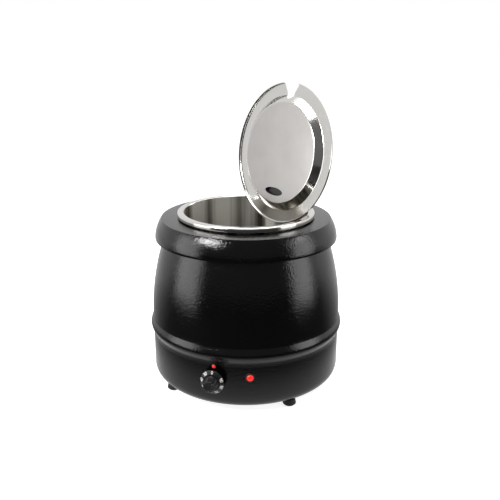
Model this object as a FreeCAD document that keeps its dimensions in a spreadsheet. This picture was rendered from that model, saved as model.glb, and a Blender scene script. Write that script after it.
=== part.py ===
"""Soup kettle: a black enamelled steel body with a wet well, a lift-out steel pot and a lift-off lid.

Millimetres, +Z up. The origin is on the kettle's axis, on the table. The controls face -Y.
"""
import math
import os

import FreeCAD
import Part
import Sketcher

Vector = FreeCAD.Vector
doc = FreeCAD.newDocument("soup_kettle")
sheet = doc.addObject("Spreadsheet::Sheet", "sizes")

# Driving dimensions
SIZES = {
    # Outer shell
    "foot_height": 12.0,
    "shell_wall": 1.2,
    "base_radius": 165.5,
    "base_corner": 18.5,
    "base_flange_inner": 118.0,
    "bead_low": 94.0,
    "bead_high": 120.0,
    "bead_depth": 4.5,
    "barrel_top_radius": 129.4,
    "barrel_top": 292.5,
    "barrel_bend": 407.0,
    # Collar
    "collar_wall": 1.5,
    "collar_hole": 111.5,
    "collar_edge_radius": 146.0,
    "collar_edge_drop": 32.0,
    "collar_bulge_radius": 157.5,
    "collar_lip_radius": 157.0,
    "collar_drop": 35.0,
    # Wet well
    "well_wall": 1.0,
    "well_radius": 125.0,
    "well_floor": 54.0,
    "well_flange": 138.0,
    "neck_radius": 110.5,
    "neck_height": 10.5,
    # Pot
    "pot_wall": 0.8,
    "pot_radius": 107.0,
    "pot_floor": 70.0,
    "pot_corner": 22.0,
    "rim_radius": 118.5,
    "rim_lip": 8.0,
    "seat_gap": 0.2,
    # Lid
    "lid_wall": 0.8,
    "lid_radius": 122.0,
    "lid_lip": 4.0,
    "lid_step_outer": 101.0,
    "lid_step_inner": 89.0,
    "lid_sink": 10.0,
    "notch_mouth": 41.0,
    "notch_foot": 18.0,
    "notch_depth": 19.0,
    "vent_length": 46.0,
    "vent_width": 14.0,
    "vent_reach": 68.0,
    "strap_length": 90.0,
    "strap_width": 18.0,
    "strap_height": 30.0,
    "strap_wall": 2.5,
    # Place of the lid stood in the mouth
    "park_offset": 68.0,
    "park_gap": 0.4,
    # Controls
    "control_height": 63.0,
    "lamp_height": 70.0,
    "pilot_height": 86.6,
    "bush_radius": 5.0,
    "bush_reach": 8.0,
    "shaft_radius": 3.0,
    "running_gap": 0.05,
    "dial_radius": 20.4,
    "dial_wall": 4.0,
    "dial_gap": 1.2,
    "grip_radius": 11.0,
    "grip_height": 15.0,
    "lamp_radius": 6.0,
    "pilot_radius": 3.0,
    "lamp_bezel": 1.6,
    "hole_gap": 0.2,
    "thermostat_width": 34.0,
    "thermostat_height": 30.0,
    "thermostat_depth": 24.0,
    # Base
    "plate_radius": 132.0,
    "plate_wall": 1.2,
    "foot_circle": 146.0,
    "foot_radius": 11.5,
    "screw_circle": 125.0,
    "screw_radius": 2.0,
    "screw_head": 4.0,
    "vent_slot_length": 40.0,
    "vent_slot_width": 5.0,
    # Heater
    "heater_radius": 95.0,
    "heater_wall": 3.0,
    "element_circle": 78.0,
    "element_radius": 4.0,
    "shield_radius": 118.0,
    "shield_height": 20.0,
    "shield_wall": 0.8,
    "sleeve_wall": 12.0,
    "sleeve_low": 100.0,
    "sleeve_high": 250.0,
    "gland_radius": 8.0,
    "gland_bore": 3.6,
    "gland_length": 18.0,
    "gland_height": 45.0,
}
CONTROL_AZIMUTH = -108.0
LAMP_AZIMUTH = -87.7
GLAND_AZIMUTH = 90.0
FOOT_AZIMUTH = -60.0
SCREW_AZIMUTH = -15.0
PARK_AZIMUTH = 37.6
PARK_LEAN = 9.0
QUARTERS = 4
BASE_SLOTS = 12
GRIP_FLUTES = 8
# A slot's round end is a hair over a half circle's radius, so that its centre lies on one side
HALF_ROUND = 1.0001
# Shapes of small parts, as shares of their radius
BEZEL_SPREAD, LENS_SHOULDER = 1.35, 0.8
NUT_SPREAD = 1.6
GRIP_FOOT, GRIP_NECK, GRIP_FACE = 1.3, 0.9, 0.8
GLAND_FLANGE, GLAND_NOSE = 1.4, 0.9
CUTOUT_SPREAD = 1.5


class Size:
    """A length with its value and the expression that gives it from the sheet."""

    def __init__(self, value, text):
        self.value = value
        self.text = text

    def _join(self, other, sign, value):
        other = as_size(other)
        return Size(value, "(%s %s %s)" % (self.text, sign, other.text))

    def __add__(self, other):
        return self._join(other, "+", self.value + as_size(other).value)

    def __sub__(self, other):
        return self._join(other, "-", self.value - as_size(other).value)

    def __mul__(self, other):
        return self._join(other, "*", self.value * as_size(other).value)

    def __truediv__(self, other):
        return self._join(other, "/", self.value / as_size(other).value)


def as_size(number):
    if isinstance(number, Size):
        return number
    return Size(float(number), repr(float(number)))


def root(length):
    return Size(math.sqrt(length.value), "sqrt(%s)" % length.text)


size = {}
for row, (alias, number) in enumerate(SIZES.items(), start=1):
    sheet.set("A%d" % row, alias)
    sheet.set("B%d" % row, str(number))
    sheet.setAlias("B%d" % row, alias)
    size[alias] = Size(number, "sizes." + alias)
doc.recompute()

parts = {}


def keep(label, thing):
    """Name a finished piece, which is written to a file of that name."""
    thing.Label = label
    parts[label] = thing
    return thing


def bind(thing, **sizes):
    for name, length in sizes.items():
        thing.setExpression(name, as_size(length).text)
    return thing


def origin_plane(body, role):
    return next(plane for plane in body.Origin.OriginFeatures if plane.Role == role)


def draw(body, role, corners, rounds=None):
    """Draw a closed outline through corners (pairs of sizes). rounds maps the index of a side to the
    radius of an arc in place of that straight side, positive where the arc bows to the right of its way."""
    rounds = rounds or {}
    sketch = body.newObject("Sketcher::SketchObject", "outline")
    sketch.AttachmentSupport = [(origin_plane(body, role), "")]
    sketch.MapMode = "FlatFace"
    corners = [(as_size(a), as_size(b)) for a, b in corners]
    points = [Vector(a.value, b.value, 0) for a, b in corners]
    count = len(points)
    ends = []
    for index in range(count):
        start, stop = points[index], points[(index + 1) % count]
        if index not in rounds:
            sketch.addGeometry(Part.LineSegment(start, stop), False)
            ends.append((1, 2))
            continue
        radius = as_size(rounds[index]).value
        bows_right = radius > 0
        middle, along = (start + stop) * 0.5, stop - start
        left = Vector(-along.y, along.x, 0).normalize()
        depth = math.sqrt(max(radius * radius - along.Length ** 2 / 4, 0.0))
        centre = middle + left * math.copysign(depth, radius)
        first, last = (start, stop) if bows_right else (stop, start)
        angles = [math.atan2(end.y - centre.y, end.x - centre.x) for end in (first, last)]
        circle = Part.Circle(centre, Vector(0, 0, 1), abs(radius))
        sketch.addGeometry(Part.ArcOfCircle(circle, angles[0], angles[1]), False)
        ends.append((1, 2) if bows_right else (2, 1))
    for index in range(count):
        after = (index + 1) % count
        sketch.addConstraint(Sketcher.Constraint("Coincident", index, ends[index][1], after, ends[after][0]))
    for index, (across, up) in enumerate(corners):
        for kind, length in (("DistanceX", across), ("DistanceY", up)):
            number = sketch.addConstraint(
                Sketcher.Constraint(kind, -1, 1, index, ends[index][0], length.value))
            sketch.setExpression("Constraints[%d]" % number, length.text)
    for index, radius in rounds.items():
        length = as_size(radius)
        if length.value < 0:
            length = as_size(0) - length
        number = sketch.addConstraint(Sketcher.Constraint("Radius", index, length.value))
        sketch.setExpression("Constraints[%d]" % number, length.text)
    return sketch


def revolve(name, corners, rounds=None):
    """A body turned about the Z axis from an outline of (radius, height) corners."""
    body = doc.addObject("PartDesign::Body", name)
    sketch = draw(body, "XZ_Plane", corners, rounds)
    turn = body.newObject("PartDesign::Revolution", "turn")
    turn.Profile = sketch
    turn.ReferenceAxis = (sketch, ["V_Axis"])
    turn.Angle = 360
    return body


def pad(name, corners, height, rounds=None):
    """A body raised along Z from an outline on the XY plane."""
    body = doc.addObject("PartDesign::Body", name)
    sketch = draw(body, "XY_Plane", corners, rounds)
    lift = body.newObject("PartDesign::Pad", "lift")
    lift.Profile = sketch
    lift.setExpression("Length", as_size(height).text)
    return body


def cylinder(name, radius, height):
    return bind(doc.addObject("Part::Cylinder", name), Radius=radius, Height=height)


def box(name, length, width, height):
    return bind(doc.addObject("Part::Box", name), Length=length, Width=width, Height=height)


def cut(name, base, tool):
    made = doc.addObject("Part::Cut", name)
    made.Base = base
    made.Tool = tool
    return made


def fuse(name, pieces):
    made = doc.addObject("Part::MultiFuse", name)
    made.Shapes = pieces
    return made


def compound(name, pieces):
    made = doc.addObject("Part::Compound", name)
    made.Links = pieces
    return made


def place(thing, x=0.0, y=0.0, z=0.0, turn=None):
    thing.Placement = FreeCAD.Placement(Vector(x, y, z), turn or FreeCAD.Rotation())
    return thing


def outward(thing, azimuth, radius, height, roll=0.0):
    """Lay a piece made along Z so that its Z points out of the kettle, from a radius at a height."""
    angle = math.radians(azimuth)
    turn = FreeCAD.Rotation(Vector(0, 0, 1), azimuth) * FreeCAD.Rotation(Vector(0, 1, 0), 90)
    turn = turn * FreeCAD.Rotation(Vector(0, 0, 1), roll)
    return place(thing, radius * math.cos(angle), radius * math.sin(angle), height, turn)


def around(make, circle, azimuth, height):
    """Four copies of a piece, evenly spaced on a circle."""
    made = []
    for quarter in range(QUARTERS):
        angle = math.radians(azimuth + quarter * 360 / QUARTERS)
        made.append(place(make(), circle * math.cos(angle), circle * math.sin(angle), height))
    return made


# Named sizes used all through
foot_height, shell_wall = size["foot_height"], size["shell_wall"]
base_radius, base_corner = size["base_radius"], size["base_corner"]
bead_low, bead_high, bead_depth = size["bead_low"], size["bead_high"], size["bead_depth"]
barrel_top, barrel_top_radius = size["barrel_top"], size["barrel_top_radius"]
barrel_bend = size["barrel_bend"]
well_wall, well_floor = size["well_wall"], size["well_floor"]
well_radius, neck_radius = size["well_radius"], size["neck_radius"]
flange_top = barrel_top + well_wall
neck_top = flange_top + size["neck_height"]
collar_wall = size["collar_wall"]
collar_top = flange_top + collar_wall
pot_wall, pot_radius = size["pot_wall"], size["pot_radius"]
rim_under = neck_top + size["seat_gap"]
rim_top = rim_under + pot_wall
inner_radius = base_radius - shell_wall
bush_hole = size["bush_radius"] + size["hole_gap"]
lamp_hole = size["lamp_radius"] + size["hole_gap"]
pilot_hole = size["pilot_radius"] + size["hole_gap"]
gland_hole = size["gland_radius"] + size["hole_gap"]

# Outer shell: barrel with a pressed bead, turned in at the foot
bead_chord = bead_high - bead_low
bead_radius = (bead_chord * bead_chord / 4 + bead_depth * bead_depth) / (bead_depth * 2)
shell_form = revolve("shell_form", [
    (size["base_flange_inner"], foot_height),
    (base_radius - base_corner, foot_height),
    (base_radius, foot_height + base_corner),
    (base_radius, bead_low),
    (base_radius, bead_high),
    (barrel_top_radius, barrel_top),
    (barrel_top_radius - shell_wall, barrel_top),
    (inner_radius, bead_high),
    (inner_radius, bead_low),
    (inner_radius, foot_height + base_corner),
    (base_radius - base_corner, foot_height + shell_wall),
    (size["base_flange_inner"], foot_height + shell_wall),
], {
    1: base_corner,
    3: bead_radius,
    4: barrel_bend,
    6: as_size(0) - (barrel_bend - shell_wall),
    7: as_size(0) - bead_radius,
    9: as_size(0) - (base_corner - shell_wall),
})
drill_length = shell_wall * 10
shell_drills = []
for drill_name, radius, azimuth, height in (
        ("bush_drill", bush_hole, CONTROL_AZIMUTH, size["control_height"]),
        ("lamp_drill", lamp_hole, LAMP_AZIMUTH, size["lamp_height"]),
        ("pilot_drill", pilot_hole, CONTROL_AZIMUTH, size["pilot_height"]),
        ("gland_drill", gland_hole, GLAND_AZIMUTH, size["gland_height"])):
    drill = cylinder(drill_name, radius, drill_length)
    shell_drills.append(outward(drill, azimuth, (base_radius - drill_length / 2).value, height.value))
screw_drills = around(
    lambda: cylinder("screw_drill", size["screw_radius"] + size["hole_gap"], foot_height),
    size["screw_circle"].value, SCREW_AZIMUTH, foot_height.value / 2)
stud_drills = around(
    lambda: cylinder("stud_drill", size["screw_radius"] + size["hole_gap"], foot_height),
    size["foot_circle"].value, FOOT_AZIMUTH, foot_height.value / 2)
all_drills = fuse("shell_drills", shell_drills + screw_drills + stud_drills)
keep("outer_shell", cut("shell_cut", shell_form, all_drills))

# Collar: the broad black cap over the top of the barrel
edge_height = collar_top - size["collar_edge_drop"]
lip_height = collar_top - size["collar_drop"]
skirt_bend = size["collar_edge_drop"] * 2
keep("collar", revolve("collar_form", [
    (size["collar_hole"], collar_top),
    (size["collar_hole"], flange_top),
    (size["collar_edge_radius"] - collar_wall, flange_top),
    (size["collar_bulge_radius"] - collar_wall, edge_height),
    (size["collar_lip_radius"] - collar_wall, lip_height),
    (size["collar_lip_radius"], lip_height),
    (size["collar_bulge_radius"], edge_height),
    (size["collar_edge_radius"], collar_top),
], {2: as_size(0) - skirt_bend, 6: skirt_bend}))

# Wet well: steel tank hung from the barrel's top edge, with a neck for the pot
keep("wet_well", revolve("well_form", [
    (0, well_floor),
    (well_radius, well_floor),
    (well_radius, barrel_top),
    (size["well_flange"], barrel_top),
    (size["well_flange"], flange_top),
    (neck_radius, flange_top),
    (neck_radius, neck_top),
    (neck_radius - well_wall, neck_top),
    (neck_radius - well_wall, barrel_top),
    (well_radius - well_wall, barrel_top),
    (well_radius - well_wall, well_floor + well_wall),
    (0, well_floor + well_wall),
]))

# Pot: straight steel inset hung by its turned-down rim
pot_outer = pot_radius + pot_wall
pot_floor, pot_corner = size["pot_floor"], size["pot_corner"]
lip_bottom = rim_top - size["rim_lip"]
keep("inner_pot", revolve("pot_form", [
    (0, pot_floor),
    (pot_outer - pot_corner, pot_floor),
    (pot_outer, pot_floor + pot_corner),
    (pot_outer, rim_under),
    (size["rim_radius"] - pot_wall, rim_under),
    (size["rim_radius"] - pot_wall, lip_bottom),
    (size["rim_radius"], lip_bottom),
    (size["rim_radius"], rim_top),
    (pot_radius, rim_top),
    (pot_radius, pot_floor + pot_corner),
    (pot_outer - pot_corner, pot_floor + pot_wall),
    (0, pot_floor + pot_wall),
], {1: pot_corner, 9: as_size(0) - (pot_corner - pot_wall)}))

# Lid: pressed disc with a sunk middle, a ladle notch and an oval vent
lid_radius, lid_wall, lid_sink = size["lid_radius"], size["lid_wall"], size["lid_sink"]
lid_disc = revolve("lid_disc", [
    (0, as_size(0) - lid_sink),
    (size["lid_step_inner"], as_size(0) - lid_sink),
    (size["lid_step_outer"], 0),
    (lid_radius - lid_wall, 0),
    (lid_radius - lid_wall, as_size(0) - size["lid_lip"]),
    (lid_radius, as_size(0) - size["lid_lip"]),
    (lid_radius, lid_wall),
    (size["lid_step_outer"] - lid_wall, lid_wall),
    (size["lid_step_inner"] - lid_wall, lid_wall - lid_sink),
    (0, lid_wall - lid_sink),
])
notch_end = lid_radius - size["notch_depth"]
notch_over = lid_radius + size["notch_depth"]
mouth_half, foot_half = size["notch_mouth"] / 2, size["notch_foot"] / 2
notch_slope = (mouth_half - foot_half) / size["notch_depth"]
far_half = mouth_half + notch_slope * size["notch_depth"]
notch_tool = pad("notch_tool", [
    (notch_end, foot_half),
    (notch_end, as_size(0) - foot_half),
    (notch_over, as_size(0) - far_half),
    (notch_over, far_half),
], lid_sink * 4)
notch_foot = cylinder("notch_round", foot_half, lid_sink * 4)
place(notch_tool, z=-lid_sink.value * 2)
place(notch_foot, notch_end.value, 0, -lid_sink.value * 2)
vent_flat = (size["vent_length"] - size["vent_width"]) / 2
vent_half, vent_reach = size["vent_width"] / 2, size["vent_reach"]
vent_tool = pad("vent_tool", [
    (as_size(0) - vent_reach - vent_half, as_size(0) - vent_flat),
    (as_size(0) - vent_reach + vent_half, as_size(0) - vent_flat),
    (as_size(0) - vent_reach + vent_half, vent_flat),
    (as_size(0) - vent_reach - vent_half, vent_flat),
], lid_sink * 4, {0: vent_half * HALF_ROUND, 2: vent_half * HALF_ROUND})
place(vent_tool, z=-lid_sink.value * 2)
lid_cuts = fuse("lid_cuts", [notch_tool, notch_foot, vent_tool])
lid = keep("lid", cut("lid_cut", lid_disc, lid_cuts))

# Lid handle: a bent strap welded to the sunk middle
strap_half, strap_wall = size["strap_length"] / 2, size["strap_wall"]
strap_height, strap_foot = size["strap_height"], size["strap_width"]
handle_body = doc.addObject("PartDesign::Body", "handle_form")
handle_sketch = draw(handle_body, "YZ_Plane", [
    (as_size(0) - strap_half, 0),
    (strap_foot - strap_half, 0),
    (strap_foot - strap_half, strap_height - strap_wall),
    (strap_half - strap_foot, strap_height - strap_wall),
    (strap_half - strap_foot, 0),
    (strap_half, 0),
    (strap_half, strap_wall),
    (strap_half - strap_foot + strap_wall, strap_wall),
    (strap_half - strap_foot + strap_wall, strap_height),
    (strap_foot - strap_half - strap_wall, strap_height),
    (strap_foot - strap_half - strap_wall, strap_wall),
    (as_size(0) - strap_half, strap_wall),
])
handle_pad = handle_body.newObject("PartDesign::Pad", "lift")
handle_pad.Profile = handle_sketch
handle_pad.Midplane = True
handle_pad.setExpression("Length", strap_foot.text)
handle = keep("lid_handle", handle_body)

# The lid stands in the mouth on its edge, leaning back, and rests on the rim where its chord meets it
lean = math.radians(PARK_LEAN)
back_offset = size["park_offset"].value + lid_wall.value
mouth_chord = math.sqrt(pot_radius.value ** 2 - back_offset ** 2) - size["park_gap"].value
rise = math.sqrt(lid_radius.value ** 2 - mouth_chord ** 2)
centre_out = size["park_offset"].value + rise * math.sin(lean)
centre_up = rim_top.value + rise * math.cos(lean)
park = math.radians(PARK_AZIMUTH)
stand = FreeCAD.Rotation(Vector(0, 0, 1), PARK_AZIMUTH) * FreeCAD.Rotation(Vector(0, 1, 0), 90 + PARK_LEAN)
stand = stand * FreeCAD.Rotation(Vector(0, 0, 1), 180)
parked = FreeCAD.Placement(
    Vector(centre_out * math.cos(park), centre_out * math.sin(park), centre_up), stand)
lid.Placement = parked
handle_seat = Vector(0, 0, lid_wall.value - lid_sink.value)
handle.Placement = parked * FreeCAD.Placement(handle_seat, FreeCAD.Rotation())

# Base plate with cooling slots, its screws and the rubber feet
plate_bottom = foot_height - size["plate_wall"]
slot_tools = []
for slot in range(BASE_SLOTS):
    tool = box("slot_tool", size["vent_slot_length"], size["vent_slot_width"], foot_height)
    turn = FreeCAD.Rotation(Vector(0, 0, 1), slot * 360 / BASE_SLOTS)
    start = Vector(size["vent_slot_length"].value, -size["vent_slot_width"].value / 2, foot_height.value / 2)
    tool.Placement = FreeCAD.Placement(turn.multVec(start), turn)
    slot_tools.append(tool)
plate_disc = place(cylinder("plate_disc", size["plate_radius"], size["plate_wall"]), z=plate_bottom.value)
plate_drills = around(
    lambda: cylinder("plate_drill", size["screw_radius"] + size["hole_gap"], foot_height),
    size["screw_circle"].value, SCREW_AZIMUTH, foot_height.value / 2)
keep("base_plate", cut("plate_cut", plate_disc, fuse("plate_tools", slot_tools + plate_drills)))
head_height = size["screw_head"] / 2
grip_length = size["plate_wall"] + shell_wall + head_height * 2


def base_screw():
    return revolve("screw_form", [
        (0, as_size(0) - head_height),
        (size["screw_head"], as_size(0) - head_height),
        (size["screw_head"], 0),
        (size["screw_radius"], 0),
        (size["screw_radius"], grip_length),
        (0, grip_length),
    ])


keep("base_screws", compound("screw_set", around(
    base_screw, size["screw_circle"].value, SCREW_AZIMUTH, plate_bottom.value)))


def rubber_foot():
    radius = size["foot_radius"]
    return revolve("foot_form", [
        (0, 0),
        (radius - foot_height / 4, 0),
        (radius, foot_height / 4),
        (radius - foot_height / 6, foot_height),
        (size["screw_radius"], foot_height),
        (size["screw_radius"], foot_height + shell_wall + head_height),
        (0, foot_height + shell_wall + head_height),
    ])


FOOT_NAMES = ("foot_front_right", "foot_back_right", "foot_back_left", "foot_front_left")
for foot_name, foot in zip(FOOT_NAMES, around(rubber_foot, size["foot_circle"].value, FOOT_AZIMUTH, 0.0)):
    keep(foot_name, foot)

# Heater under the well: plate, tubular ring and the shield below it
heater_bottom = well_floor - size["heater_wall"]
keep("heater_plate", place(
    cylinder("heater_disc", size["heater_radius"], size["heater_wall"]), z=heater_bottom.value))
element_drop = heater_bottom - size["element_radius"] - size["running_gap"]
ring = bind(doc.addObject("Part::Torus", "element_ring"),
            Radius1=size["element_circle"], Radius2=size["element_radius"])
keep("heating_element", place(ring, z=element_drop.value))
shield_bottom = well_floor - size["shield_height"]
shield_wall, shield_radius = size["shield_wall"], size["shield_radius"]
keep("heat_shield", revolve("shield_form", [
    (0, shield_bottom),
    (shield_radius - shield_wall, shield_bottom),
    (shield_radius - shield_wall, well_floor - shield_wall),
    (well_radius, well_floor - shield_wall),
    (well_radius, well_floor),
    (shield_radius - shield_wall * 2, well_floor),
    (shield_radius - shield_wall * 2, shield_bottom + shield_wall),
    (0, shield_bottom + shield_wall),
]))
cutout_radius = size["lamp_radius"] * CUTOUT_SPREAD
keep("thermal_cutout", place(
    cylinder("cutout_disc", cutout_radius, cutout_radius), z=(shield_bottom - cutout_radius).value))

# Insulation sleeve round the well
sleeve_inner = well_radius + size["hole_gap"]
keep("insulation_sleeve", revolve("sleeve_form", [
    (sleeve_inner, size["sleeve_low"]),
    (sleeve_inner + size["sleeve_wall"], size["sleeve_low"]),
    (sleeve_inner + size["sleeve_wall"], size["sleeve_high"]),
    (sleeve_inner, size["sleeve_high"]),
]))

# Thermostat behind the front wall, with its bush through the wall and a nut on it
half_width = size["thermostat_width"] / 2
front_plane = root(inner_radius * inner_radius - half_width * half_width) - size["hole_gap"]
case = box("thermostat_case", size["thermostat_height"], size["thermostat_width"], size["thermostat_depth"])
bush_length = size["bush_reach"] + shell_wall * 2
bush = cylinder("thermostat_bush", size["bush_radius"], bush_length)
bore_length = size["thermostat_depth"] + bush_length
bore = cylinder("bush_bore", size["shaft_radius"] + size["running_gap"], bore_length)
place(case, -size["thermostat_height"].value / 2, -half_width.value, -size["thermostat_depth"].value)
place(bore, z=-size["thermostat_depth"].value / 2)
control = size["control_height"].value
thermostat = keep("thermostat", cut("thermostat_cut", fuse("thermostat_solid", [case, bush]), bore))
outward(thermostat, CONTROL_AZIMUTH, front_plane.value, control)
nut_bore = cylinder("nut_bore", size["bush_radius"] + size["running_gap"], size["bush_radius"])
nut_hex = doc.addObject("Part::Prism", "nut_hex")
nut_hex.Polygon = 6
bind(nut_hex, Circumradius=size["bush_radius"] * NUT_SPREAD, Height=size["bush_radius"] / 2)
nut = keep("bush_nut", cut("nut_cut", nut_hex, nut_bore))
nut_seat = base_radius.value + size["running_gap"].value
outward(nut, CONTROL_AZIMUTH, nut_seat, control)

# Knob and its shaft turn together
dial_seat = base_radius + size["bush_reach"] + size["dial_gap"]
dial_radius, dial_wall = size["dial_radius"], size["dial_wall"]
grip_radius = size["grip_radius"]
knob_top = dial_wall + size["grip_height"]
knob_bore = size["shaft_radius"] + size["running_gap"]
shaft_start = front_plane - size["thermostat_depth"] / 2 + size["dial_gap"]
shaft_length = dial_seat + size["grip_height"] - size["dial_gap"] - shaft_start
shaft = keep("thermostat_shaft", cylinder("shaft_rod", size["shaft_radius"], shaft_length))
outward(shaft, CONTROL_AZIMUTH, shaft_start.value, control)
knob_body = revolve("knob_form", [
    (knob_bore, 0),
    (dial_radius, 0),
    (dial_radius, dial_wall / 4),
    (grip_radius * GRIP_FOOT, dial_wall),
    (grip_radius, dial_wall),
    (grip_radius * GRIP_NECK, knob_top - dial_wall / 4),
    (grip_radius * GRIP_FACE, knob_top),
    (0, knob_top),
    (0, size["grip_height"]),
    (knob_bore, size["grip_height"]),
])
flute_tools = []
for flute in range(GRIP_FLUTES):
    angle = 2 * math.pi * flute / GRIP_FLUTES
    tool = cylinder("flute_tool", grip_radius / 5, size["grip_height"] * 2)
    flute_tools.append(place(
        tool, grip_radius.value * math.cos(angle), grip_radius.value * math.sin(angle), dial_wall.value))
knob = keep("control_knob", cut("knob_cut", knob_body, fuse("flute_set", flute_tools)))
outward(knob, CONTROL_AZIMUTH, dial_seat.value, control)


# Lamps: a red lens in a body that passes through the wall
def lamp(name, radius, azimuth, height):
    bezel = size["lamp_bezel"]
    lens = keep(name + "_lens", revolve(name + "_lens_form", [
        (0, bezel),
        (radius, bezel),
        (radius * LENS_SHOULDER, bezel + radius / 3),
        (0, bezel + radius / 2),
    ]))
    body = keep(name + "_body", revolve(name + "_body_form", [
        (0, as_size(0) - radius * 3),
        (radius, as_size(0) - radius * 3),
        (radius, 0),
        (radius * BEZEL_SPREAD, 0),
        (radius * BEZEL_SPREAD, bezel),
        (0, bezel),
    ]))
    for piece in (lens, body):
        outward(piece, azimuth, base_radius.value + size["running_gap"].value, height.value)


lamp("power_lamp", size["lamp_radius"], LAMP_AZIMUTH, size["lamp_height"])
lamp("heat_lamp", size["pilot_radius"], CONTROL_AZIMUTH, size["pilot_height"])

# Cable gland and terminal block at the back
gland_length, gland_radius = size["gland_length"], size["gland_radius"]
gland = keep("cable_gland", revolve("gland_form", [
    (size["gland_bore"], as_size(0) - gland_length / 2),
    (gland_radius, as_size(0) - gland_length / 2),
    (gland_radius, 0),
    (gland_radius * GLAND_FLANGE, 0),
    (gland_radius * GLAND_FLANGE, gland_length / 6),
    (gland_radius * GLAND_NOSE, gland_length / 2),
    (size["gland_bore"], gland_length / 2),
]))
outward(gland, GLAND_AZIMUTH, base_radius.value + size["running_gap"].value, size["gland_height"].value)
block = keep("terminal_block", box(
    "block_form", size["thermostat_width"], size["thermostat_depth"] / 2, size["thermostat_depth"] / 2))
block_reach = size["screw_circle"].value - size["thermostat_depth"].value
place(block, -size["thermostat_width"].value / 2, block_reach, foot_height.value)

doc.recompute()

for thing in doc.Objects:
    if "Invalid" in thing.State or "Error" in thing.State:
        raise RuntimeError("%s failed: %s" % (thing.Name, thing.State))
for label, piece in parts.items():
    if piece.Shape.isNull() or not piece.Shape.isValid():
        raise RuntimeError("%s has no valid shape" % label)

os.makedirs("parts", exist_ok=True)
for label, piece in parts.items():
    piece.Shape.exportStep("parts/%s.step" % label)
    print(label, len(piece.Shape.Solids), round(piece.Shape.Volume, 1))
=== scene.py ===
"""Looks of the soup kettle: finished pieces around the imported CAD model, its light and its camera."""
import math

import bmesh
import bpy
from mathutils import Matrix, Vector


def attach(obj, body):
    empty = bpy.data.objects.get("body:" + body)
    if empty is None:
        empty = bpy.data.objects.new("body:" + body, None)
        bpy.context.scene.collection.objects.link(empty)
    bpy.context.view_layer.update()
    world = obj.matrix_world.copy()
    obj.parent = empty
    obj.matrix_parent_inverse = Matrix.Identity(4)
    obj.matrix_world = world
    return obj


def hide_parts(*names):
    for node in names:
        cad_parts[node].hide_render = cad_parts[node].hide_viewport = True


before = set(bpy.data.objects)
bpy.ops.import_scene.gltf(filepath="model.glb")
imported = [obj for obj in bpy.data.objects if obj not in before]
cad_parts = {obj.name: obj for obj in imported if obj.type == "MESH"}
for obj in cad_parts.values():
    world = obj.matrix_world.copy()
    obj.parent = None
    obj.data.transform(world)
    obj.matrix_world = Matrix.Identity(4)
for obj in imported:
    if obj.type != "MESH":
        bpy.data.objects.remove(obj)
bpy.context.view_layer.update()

MM = 0.001
# Faces round a large turned piece and round a small one
ROUND, SMALL_ROUND = 256, 64
# Edges that turn by more degrees than this stay sharp
SHARP = 40
# In mm: corners nearer than the first are one corner after a cut, and points nearer the axis than the
# second are on it
MERGE, ON_AXIS = 0.004, 1e-6
# Places of the controls, feet and screws round the kettle, in degrees
CONTROL, LAMP, GLAND = -108.0, -87.7, 90.0
FIRST_FOOT, FIRST_SCREW = -60.0, -15.0
# In mm: heights of the controls, the barrel's radius, how far pieces stand off it, and how far the dial's
# back is from the axis
CONTROL_HEIGHT, LAMP_HEIGHT, PILOT_HEIGHT, GLAND_HEIGHT = 63.0, 70.0, 86.6, 45.0
BASE_RADIUS, SEAT_GAP, DIAL_SEAT = 165.5, 0.05, 174.7
# The lid's place, stood on its edge in the pot's mouth: turned to an azimuth and leaning back
LID_CENTRE = Vector((65.122, 50.151, 394.623))
LID_AZIMUTH, LID_LEAN = 37.6, 9.0
LID_PLACE = (
    Matrix.Translation(LID_CENTRE * MM)
    @ Matrix.Rotation(math.radians(LID_AZIMUTH), 4, "Z")
    @ Matrix.Rotation(math.radians(90 + LID_LEAN), 4, "Y")
    @ Matrix.Rotation(math.pi, 4, "Z")
)


# Materials

# Sockets of a Mix node that mixes colours
MIX_A, MIX_B, MIX_RESULT = 6, 7, 2
# A finish wanders in colour over this many of its grains
CLOUD_GRAINS = 12


def linear(code):
    """An sRGB hex colour as linear red, green, blue and alpha."""
    parts = [int(code[at:at + 2], 16) / 255 for at in (0, 2, 4)]
    return [c / 12.92 if c <= 0.04045 else ((c + 0.055) / 1.055) ** 2.4 for c in parts] + [1.0]


def per(size):
    """The scale of a pattern whose features are this many millimetres across."""
    return 1 / (size * MM)


def add(tree, kind, settings=None, links=None):
    """Add a node, or take one that is there: settings go to its inputs or its own properties, and links
    bring (node, output) to its inputs."""
    node = tree.nodes.new(kind) if isinstance(kind, str) else kind
    for name, value in (settings or {}).items():
        if isinstance(name, int) or name in node.inputs:
            node.inputs[name].default_value = value
        else:
            setattr(node, name, value)
    for name, (source, output) in (links or {}).items():
        tree.links.new(source.outputs[output], node.inputs[name])
    return node


def material(name, colour, settings):
    """A material with its shader set. Returns it with its tree, its shader and its coordinates."""
    made = bpy.data.materials.new(name)
    made.use_nodes = True
    tree = made.node_tree
    shader = tree.nodes["Principled BSDF"]
    add(tree, shader, {"Base Color": linear(colour), **settings})
    return made, tree, shader, add(tree, "ShaderNodeTexCoord")


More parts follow.
